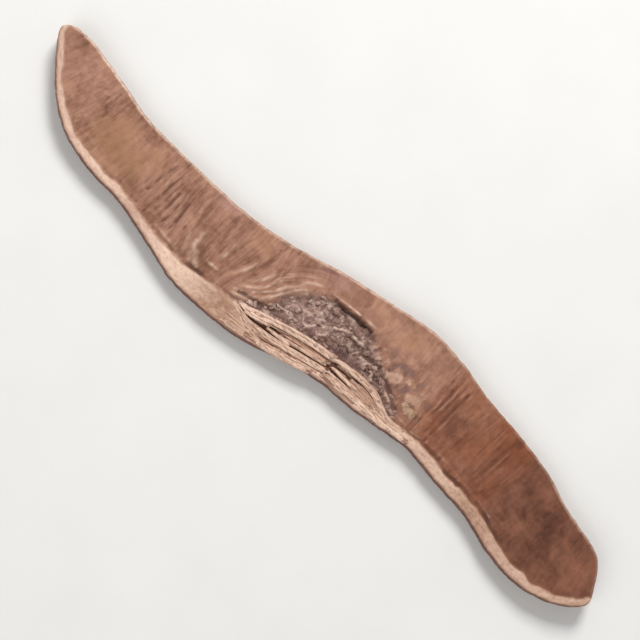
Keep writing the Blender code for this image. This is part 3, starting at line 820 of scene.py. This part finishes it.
def filling_splinters(draws, face):
    """Thinner splinters between and under the standing fibres, most of them broken at one crack."""
    top_line = smooth_curve(FIBRE_TOP, 8)
    low_line = smooth_curve(TORN_RIM, 8)[::-1]
    made = []
    for number in range(90):
        left = number % 5 < 3
        start, end = (56.5, 76.5) if left else (76.8, 93.6)
        length = draws.uniform(2.5, 9.5)
        right_end = end - draws.uniform(0, 0.8) if draws.uniform() < 0.55 else draws.uniform(start + 3, end)
        left_end = max(start, right_end - length)
        x = np.linspace(left_end, right_end, max(6, int(length / 0.35)))
        share = draws.uniform(-0.02, 1.0)
        high = np.interp(x, top_line[:, 0], top_line[:, 1])
        low = np.interp(x, low_line[:, 0], low_line[:, 1])
        y = low + (high - low) * share + 0.12 * noise(x, 0 * x + number, 4.0, 5)
        ground = np.polyval(np.polyfit(x, face.height_at(x, y), 1), x)
        z = np.clip(ground + draws.uniform(-0.08, 0.16), None, THICKNESS + 0.04)
        half = draws.uniform(0.08, 0.24)
        # Painted shade: splinters that sit lower in the hollow are given less paleness
        depth = smoothstep(THICKNESS - 0.9, THICKNESS, z.mean())
        pale = 0.1 + 0.65 * depth * draws.uniform(0.1, 1)
        made.append(splinter(np.column_stack([x, y]), z, half, half * 0.7, draws, pale))
    return made


def rim_splinters(draws, face):
    """Fine strands that part from the rim beside the hollow."""
    made = []
    for number in range(60):
        length = draws.uniform(2.0, 7.0)
        left_end = draws.uniform(56.0, 94.0 - length)
        x = np.linspace(left_end, left_end + length, max(6, int(length / 0.35)))
        y = crust_at(x) + draws.uniform(0.35, 2.2) + 0.1 * noise(x, 0 * x + number, 3.0, 5)
        ground = np.polyval(np.polyfit(x, face.height_at(x, y), 2), x)
        half = draws.uniform(0.05, 0.12)
        z = ground + draws.uniform(-0.04, 0.05)
        made.append(splinter(np.column_stack([x, y]), z, half, half * 0.8, draws, draws.uniform(0.4, 1.0)))
    return made


def on_bare_floor(draws, count):
    """Random places on the hollow's bare floor."""
    x = draws.uniform(57.0, 93.0, count * 6)
    y = draws.uniform(-10.0, 4.2, count * 6)
    ledge = distance_to(smooth_curve(TORN_LEDGE, 8), x, y)
    deep = ledge > draws.uniform(0.7, 1.6, count * 6) * np.where(window(x, 66.0, 79.0, 1.0) > 0.5, 0.7, 1.2)
    kept = inside(TORN, x, y) & (y > along(FIBRE_TOP, x) - 0.3) & deep
    return np.column_stack([x, y])[kept][:count]


def curl_mesh(face):
    """Short thick bent shreds of torn flesh, half sunk in the hollow's floor."""
    draws = np.random.default_rng(12)
    share = np.linspace(0, 1, 12)
    made = []
    for number, (x, y) in enumerate(on_bare_floor(draws, 130)):
        radius = draws.uniform(0.35, 0.9)
        angle = draws.uniform(0, 6.28) + draws.uniform(0.7, 2.3) * share
        path_x = x + radius * np.cos(angle) + 0.16 * noise(3 * share, 0 * share + number, 0.6, 1)
        path_y = y + radius * np.sin(angle) * draws.uniform(0.5, 1.0) + 0.16 * noise(3 * share, 0 * share + number, 0.6, 2)
        ground = face.height_at(path_x, path_y)
        z = 0.6 * ground + 0.4 * ground.mean() + draws.uniform(-0.22, 0.02)
        z = np.minimum(z, THICKNESS + lift(path_x, path_y) + 0.1)
        half = draws.uniform(0.24, 0.48) * (0.5 + 0.5 * np.sin(np.pi * (0.1 + 0.8 * share)))
        path = np.column_stack([path_x, path_y, z])
        body = strand(path, half, half * draws.uniform(0.5, 0.8), draws, 9, 0.3, 0.15, 0.5)
        light = toned(np.array([x]), np.array([y]))[0][0]
        made.append((*body, np.clip(draws.uniform(0.0, 0.9) + 0.5 * light, 0, 1)))
    return joined(made, "curls")


def crumb_mesh(face):
    """Granules on the hollow's floor, paler ones where it runs out at the right."""
    draws = np.random.default_rng(13)
    shape = bmesh.new()
    bmesh.ops.create_icosphere(shape, subdivisions=2, radius=1.0)
    points = np.array([vertex.co for vertex in shape.verts])
    faces = [tuple(vertex.index for vertex in face.verts) for face in shape.faces]
    shape.free()
    dark = on_bare_floor(draws, 220)
    pale = np.column_stack([draws.normal(91.4, 0.9, 12), draws.normal(-0.3, 0.45, 12)])
    made = []
    for number, (x, y) in enumerate(np.vstack([dark, pale])):
        is_pale = number >= len(dark)
        size = draws.uniform(0.12, 0.26) if is_pale else draws.uniform(0.06, 0.18)
        squeeze = draws.uniform(0.45, 1.3, 3)
        lumpy = 1 + 0.3 * np.sin(points @ draws.normal(0, 2.2, 3) + draws.uniform(0, 6))
        spin = np.array(Matrix.Rotation(draws.uniform(0, 6.28), 3, Vector(draws.normal(0, 1, 3))))
        crumb = (points * lumpy[:, None] * squeeze) @ spin.T * size
        z = float(face.height_at(np.array([x]), np.array([y]))[0])
        made.append((crumb + [x, y, z + 0.1 * size], faces, 0.6 if is_pale else draws.uniform(0, 0.6)))
    return joined(made, "crumbs")


def linear(code):
    """A screen colour written as six hex digits, as the shader wants it."""
    channels = [int(code[k : k + 2], 16) / 255 for k in (0, 2, 4)]
    return [c / 12.92 if c <= 0.04045 else ((c + 0.055) / 1.055) ** 2.4 for c in channels] + [1.0]


class Graph:
    """Builds one material's nodes around its Principled shader."""

    def __init__(self, name):
        self.material = bpy.data.materials.new(name)
        self.material.use_nodes = True
        self.tree = self.material.node_tree
        self.shader = self.tree.nodes["Principled BSDF"]
        self.shader.inputs["Specular IOR Level"].default_value = 0.3

    def put(self, kind, settings, sockets):
        node = self.tree.nodes.new(kind)
        for name, value in settings.items():
            setattr(node, name, value)
        for name, value in sockets.items():
            self.feed(node.inputs[name], value)
        return node

    def feed(self, socket, value):
        if isinstance(value, bpy.types.NodeSocket):
            self.tree.links.new(value, socket)
        elif isinstance(value, str):
            socket.default_value = linear(value)
        else:
            socket.default_value = value

    def number(self, name):
        return self.put("ShaderNodeAttribute", {"attribute_name": name}, {}).outputs["Fac"]

    def vector(self, name):
        return self.put("ShaderNodeAttribute", {"attribute_name": name}, {}).outputs["Vector"]

    def stretch(self, vector, scales):
        return self.put("ShaderNodeVectorMath", {"operation": "MULTIPLY"}, {0: vector, 1: scales}).outputs[0]

    def noise(self, vector, scale, detail=3.0, distortion=0.0):
        sockets = {"Vector": vector, "Scale": scale, "Detail": detail, "Distortion": distortion}
        return self.put("ShaderNodeTexNoise", {}, sockets).outputs["Fac"]

    def cells(self, vector, scale, feature="F1"):
        sockets = {"Vector": vector, "Scale": scale}
        return self.put("ShaderNodeTexVoronoi", {"feature": feature}, sockets).outputs["Distance"]

    def remap(self, value, low, high, to_low=0.0, to_high=1.0):
        sockets = {"Value": value, "From Min": low, "From Max": high, "To Min": to_low, "To Max": to_high}
        node = self.put("ShaderNodeMapRange", {"interpolation_type": "SMOOTHSTEP"}, sockets)
        return node.outputs["Result"]

    def math(self, operation, a, b):
        return self.put("ShaderNodeMath", {"operation": operation, "use_clamp": False}, {0: a, 1: b}).outputs[0]

    def mix(self, share, a, b):
        node = self.put("ShaderNodeMix", {"data_type": "RGBA"}, {0: share, 6: a, 7: b})
        return node.outputs[2]

    def weigh(self, base, *parts):
        """A base value plus each part times its weight."""
        for value, weight in parts:
            sockets = {0: value, 1: weight, 2: base}
            base = self.put("ShaderNodeMath", {"operation": "MULTIPLY_ADD"}, sockets).outputs[0]
        return base

    def bump(self, height, distance, strength=1.0, normal=None):
        sockets = {"Height": height, "Distance": distance, "Strength": strength}
        if normal is not None:
            sockets["Normal"] = normal
        return self.put("ShaderNodeBump", {}, sockets).outputs["Normal"]

    def finish(self, colour, roughness, normal):
        self.feed(self.shader.inputs["Base Color"], colour)
        self.feed(self.shader.inputs["Roughness"], roughness)
        self.feed(self.shader.inputs["Normal"], normal)
        return self.material


def cut_face_material():
    """Tubes, pale rim and torn floor of the cut faces, told apart by what the mesh stores."""
    g = Graph("cut_flesh")
    place, grain, layer = g.vector("place"), g.vector("grain"), g.vector("layer")
    turned = g.put("ShaderNodeVectorRotate", {"rotation_type": "Z_AXIS"}, {"Vector": place, "Angle": 0.65}).outputs[0]
    along_slice = g.put("ShaderNodeSeparateXYZ", {}, {0: place}).outputs["X"]

    # Tubes: clouded, with faint streaks along the tubes, browner and darker towards the broad end, partly the flesh's
    # own tone and partly painted shade
    hair = g.noise(g.stretch(grain, (3.0, 0.5, 0.3)), 1.0, 4.0, 0.4)
    line = g.noise(g.stretch(grain, (1.2, 0.2, 0.2)), 1.0, 3.0, 0.5)
    patch = g.noise(g.stretch(place, (0.15, 0.2, 0.2)), 1.0, 3.0, 0.6)
    mottle = g.noise(turned, 0.75, 5.0, 0.9)
    cloud = g.noise(g.stretch(turned, (0.34, 0.38, 0.3)), 1.0, 5.0, 1.4)
    light, yellow = g.number("light"), g.number("yellow")
    lines = g.weigh(-0.95, (line, 1.1), (hair, 0.8))
    tone = g.weigh(-0.42, (cloud, 1.1), (mottle, 0.74), (light, 0.45), (lines, g.number("streaky")))
    near = g.mix(tone, TUBE_DEEP, TUBE_LIGHT)
    near = g.mix(g.remap(yellow, 0.05, 0.95, 0.0, 0.6), near, TUBE_YELLOW)
    pinkish = g.mix(tone, TUBE_PINK_DEEP, TUBE_PINK)
    near = g.mix(g.remap(yellow, -0.05, -0.95, 0.0, 0.65), near, pinkish)
    far = g.mix(g.weigh(0.08, (tone, 0.8)), TUBE_FAR_DEEP, TUBE_FAR_LIGHT)
    drift = g.weigh(0.0, (along_slice, 1.0), (patch, 16.0))
    tube = g.mix(g.remap(drift, 93.0, 122.0), near, far)
    tube = g.mix(g.number("rust"), tube, TUBE_RUST)
    arcs = g.noise(g.stretch(layer, (0.08, 0.7, 0.2)), 1.0, 1.0, 0.3)
    tube = g.mix(g.remap(arcs, 0.5, 0.85, 0.0, 0.08), tube, TUBE_LIGHT)
    tube = g.mix(g.remap(g.number("brushed"), 0.0, 0.7, 0.0, 0.4), tube, RIM_CREAM)
    tube = g.mix(g.remap(g.number("brushed"), 0.0, -0.7, 0.0, 0.5), tube, TUBE_DARK)
    tube = g.mix(g.remap(g.number("stroke"), 0.05, 0.95, 0.0, 0.66), tube, TUBE_DARK)
    tube = g.mix(g.remap(g.number("stroke"), -0.05, -0.6, 0.0, 0.4), tube, RIM_CREAM)
    tube = g.mix(g.remap(g.number("fleck"), 0.1, 0.9, 0.0, 0.36), tube, RIM_CREAM)
    tube = g.mix(g.remap(g.number("fleck"), 0.0, -0.8, 0.0, 0.85), tube, BRUISE)
    tube = g.mix(g.remap(g.number("granule"), 0.1, 0.9, 0.0, 0.6), tube, GRANULE_PALE)
    # Painted highlight along the pore edge
    edge = g.math("MULTIPLY", g.remap(g.number("to_pores"), 0.1, 0.65, 0.9, 0.0), g.number("edge_highlight"))
    tube = g.mix(g.math("MULTIPLY", edge, g.remap(mottle, 0.35, 0.6, 0.4, 1.0)), tube, RIM_PALE)

    # Rim: cream flesh with short strands in it, browner where it drifts
    felt = g.noise(g.stretch(layer, (0.9, 2.6, 1.5)), 1.0, 5.0, 0.7)
    rim = g.mix(g.remap(felt, 0.3, 0.58), RIM_CREAM, RIM_PALE)
    grit = g.noise(g.stretch(layer, (1.3, 2.0, 1.5)), 1.0, 4.0, 0.4)
    rim = g.mix(g.remap(patch, 0.45, 0.62, 0.0, 0.5), rim, RIM_PINK)
    # Painted shade: the rim turns tan towards its crust edge and its inner edge, as on the sloping sides of a rounded
    # ridge
    rim = g.mix(g.remap(g.number("to_crust"), 0.7, 0.1, 0.0, 0.6), rim, RIM_TAN)
    rim = g.mix(g.remap(g.number("rim"), 0.98, 0.6, 0.0, 0.5), rim, RIM_TAN)
    rim = g.mix(g.remap(g.noise(place, 1.9, 4.0, 0.6), 0.55, 0.78, 0.0, 0.4), rim, RIM_BROWN)
    worn = g.weigh(-0.12, (felt, 0.95), (mottle, 0.8))
    rim = g.mix(g.math("MULTIPLY", g.number("tan"), worn), rim, RIM_TAN)
    specks = g.math("MULTIPLY", g.remap(grit, 0.48, 0.7), g.weigh(0.2, (g.number("tan"), 0.33)))
    rim = g.mix(specks, rim, RIM_BROWN)
    skin = g.math("MULTIPLY", g.remap(g.number("to_crust"), 0.05, 0.26, 0.7, 0.0), g.remap(mottle, 0.35, 0.6, 0.2, 1.0))
    rim = g.mix(skin, rim, CRUST_RED)
    colour = g.mix(g.remap(g.number("rim"), 0.1, 0.9), tube, rim)

    # Torn floor: dull purplish brown pits between paler curls
    pits = g.noise(turned, 1.5, 5.0, 0.8)
    torn = g.mix(g.weigh(-0.9, (pits, 3.4), (light, 0.7)), TORN_DARK, TORN_BROWN)
    torn = g.mix(g.remap(g.number("curl"), 0.25, 0.85, 0.0, 0.85), torn, TORN_PALE)
    torn = g.mix(g.remap(g.noise(place, 2.6, 4.0, 1.2), 0.56, 0.7, 0.0, 0.6), torn, TORN_PALE)
    comb = g.noise(g.stretch(layer, (0.25, 3.2, 0.8)), 1.0, 4.0, 0.5)
    bed = g.mix(g.remap(comb, 0.4, 0.62), TUBE_DARK, FIBRE_BROWN)
    torn = g.mix(g.number("bed"), torn, bed)
    colour = g.mix(g.remap(g.number("torn"), 0.25, 0.8), colour, torn)
    strands = g.mix(g.weigh(-0.9, (comb, 1.8), (g.number("fibre_pale"), 0.9)), FIBRE_BROWN, FIBRE_PALE)
    colour = g.mix(g.remap(g.number("fibre"), 0.2, 0.9), colour, strands)
    colour = g.mix(g.remap(g.number("frayed"), 0.05, 1.5, 0.0, 0.88), colour, FIBRE_PALE)
    # Painted shade in the gaps and in the crevice beside the rim
    colour = g.mix(g.remap(g.number("gap"), 0.1, 0.9, 0.0, 0.7), colour, PAINTED_SHADE)

    # Painted shade in the hollows and painted highlight on the crests, from how far each place stands above its
    # surroundings
    raised = g.number("raised")
    colour = g.mix(g.remap(raised, 0.46, 0.12, 0.0, 0.45), colour, PAINTED_SHADE)
    colour = g.mix(g.remap(raised, 0.56, 0.9, 0.0, 0.4), colour, RIM_PALE)

    fine = g.bump(g.noise(g.stretch(grain, (7.0, 0.7, 2.0)), 1.0, 3.0), 0.00007)
    fine = g.bump(g.noise(place, 6.0, 4.0), 0.00006, 0.8, fine)
    return g.finish(colour, g.remap(hair, 0.3, 0.7, 0.68, 0.88), fine)


def crust_material():
    """The thin lacquered skin of the cap."""
    g = Graph("crust_lacquer")
    place = g.vector("place")
    band = g.noise(g.stretch(place, (0.5, 0.5, 3.0)), 1.0, 4.0, 0.8)
    dust = g.noise(place, 1.8, 5.0, 0.6)
    colour = g.mix(g.remap(band, 0.35, 0.65), CRUST_DARK, CRUST_RED)
    colour = g.mix(g.remap(dust, 0.52, 0.7, 0.0, 0.6), colour, FIBRE_BROWN)
    normal = g.bump(band, 0.00012)
    normal = g.bump(g.noise(place, 6.0, 4.0), 0.00005, 0.8, normal)
    g.shader.inputs["Coat Weight"].default_value = 0.25
    g.shader.inputs["Coat Roughness"].default_value = 0.3
    return g.finish(colour, g.remap(dust, 0.4, 0.7, 0.38, 0.7), normal)


def pore_material():
    """The pored underside of the cap, along the slice's other side."""
    g = Graph("pore_face")
    place = g.vector("place")
    pores = g.cells(place, 4.6)
    patch = g.noise(place, 0.5, 3.0, 0.5)
    colour = g.mix(g.remap(patch, 0.3, 0.7, 0.1, 0.75), PORE_TAN, TUBE_DEEP)
    colour = g.mix(g.remap(pores, 0.05, 0.28, 0.9, 0.0), colour, PORE_DARK)
    normal = g.bump(g.remap(pores, 0.05, 0.4), 0.00015)
    return g.finish(colour, g.remap(patch, 0.3, 0.7, 0.75, 0.9), normal)


def loose_material(name, dark, middle, pale):
    """Finish of the loose splinters, curls or crumbs, each a little different."""
    g = Graph(name)
    place, number = g.vector("place"), g.number("number")
    strands = g.noise(g.stretch(place, (0.7, 4.0, 4.0)), 1.0, 4.0, 0.4)
    colour = g.mix(number, middle, pale)
    colour = g.mix(g.remap(strands, 0.42, 0.68, 0.0, 0.7), colour, dark)
    # Painted shade: pieces that sit lower in the hollow are darker
    height = g.put("ShaderNodeSeparateXYZ", {}, {0: place}).outputs["Z"]
    colour = g.mix(g.remap(height, THICKNESS - 0.4, THICKNESS - 1.3, 0.0, 0.4), colour, TORN_DARK)
    normal = g.bump(strands, 0.00006)
    return g.finish(colour, g.remap(strands, 0.3, 0.7, 0.66, 0.86), normal)


def piece(name, mesh, *materials):
    """Puts a mesh in the scene as a piece of the slice."""
    made = bpy.data.objects.new(name, mesh)
    bpy.context.scene.collection.objects.link(made)
    for material in materials:
        mesh.materials.append(material)
    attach(made, "root")
    return made


# Where the picture's right and up lie in the frame, so that the slice runs from upper left to lower right
PICTURE_RIGHT = Vector((0.6649, 0.7471, 0))
PICTURE_UP = Vector((-0.7471, 0.6649, 0))
UP = Vector((0, 0, 1))
LENS = 110.0
SENSOR = 36.0
SHOWN_WIDTH = 0.111
TILT = 0.13


def camera():
    """Looks down on the slice, leaning a little to its crust side."""
    data = bpy.data.cameras.new("camera")
    data.lens = LENS
    data.sensor_width = SENSOR
    made = bpy.data.objects.new("camera", data)
    distance = SHOWN_WIDTH * LENS / SENSOR
    middle = Vector((0.0, 0.0005, 0.002))
    back = Vector((0, -np.sin(TILT), np.cos(TILT)))
    right = (PICTURE_RIGHT - back * PICTURE_RIGHT.dot(back)).normalized()
    turn = Matrix((right, back.cross(right), back)).transposed()
    made.matrix_world = Matrix.Translation(middle + back * distance) @ turn.to_4x4()
    bpy.context.scene.collection.objects.link(made)
    bpy.context.scene.camera = made


def area_light(name, place, size, power):
    data = bpy.data.lights.new(name, "AREA")
    data.size = size
    data.energy = power
    made = bpy.data.objects.new(name, data)
    made.location = place
    made.rotation_euler = (-place).to_track_quat("-Z", "Y").to_euler()
    bpy.context.scene.collection.objects.link(made)


def studio():
    """A pale floor under soft light that comes mostly from the top of the picture."""
    floor_mesh = bpy.data.meshes.new("floor")
    half = 1.5
    corners = [(-half, -half, 0), (half, -half, 0), (half, half, 0), (-half, half, 0)]
    floor_mesh.from_pydata(corners, [], [(0, 1, 2, 3)])
    floor = bpy.data.objects.new("floor", floor_mesh)
    bpy.context.scene.collection.objects.link(floor)
    g = Graph("floor_paper")
    grain = g.put("ShaderNodeTexCoord", {}, {}).outputs["Object"]
    paper = g.mix(g.noise(grain, 60.0), FLOOR_WHITE, FLOOR_GREY)
    floor_mesh.materials.append(g.finish(paper, 0.85, g.bump(g.noise(grain, 900.0), 0.00002)))
    area_light("key", PICTURE_UP * 0.42 + PICTURE_RIGHT * 0.16 + UP * 0.44, 0.22, 3.1)
    area_light("fill", PICTURE_RIGHT * -0.4 - PICTURE_UP * 0.3 + UP * 0.5, 0.5, 1.3)
    world = bpy.data.worlds.new("studio")
    bpy.context.scene.world = world
    world.use_nodes = True
    sky = world.node_tree.nodes["Background"]
    sky.inputs["Color"].default_value = (1.0, 1.0, 1.0, 1.0)
    sky.inputs["Strength"].default_value = 0.36
    bpy.context.scene.view_settings.view_transform = "Standard"


def main():
    face = CutFace()
    body = piece("slice_body", slice_mesh(face), cut_face_material(), crust_material(), pore_material())
    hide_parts(NODE)
    draws = np.random.default_rng(11)
    splinters = main_splinters(draws) + filling_splinters(draws, face) + rim_splinters(draws, face)
    splinter_finish = loose_material("splinters", FIBRE_BROWN, FIBRE_MID, FIBRE_PALE)
    piece("hollow_splinters", joined(splinters, "splinters"), splinter_finish)
    piece("hollow_curls", curl_mesh(face), loose_material("curls", TORN_BROWN, TORN_BROWN, TORN_PALE))
    piece("hollow_crumbs", crumb_mesh(face), loose_material("crumbs", TORN_BROWN, TORN_DARK, FIBRE_PALE))
    camera()
    studio()


main()
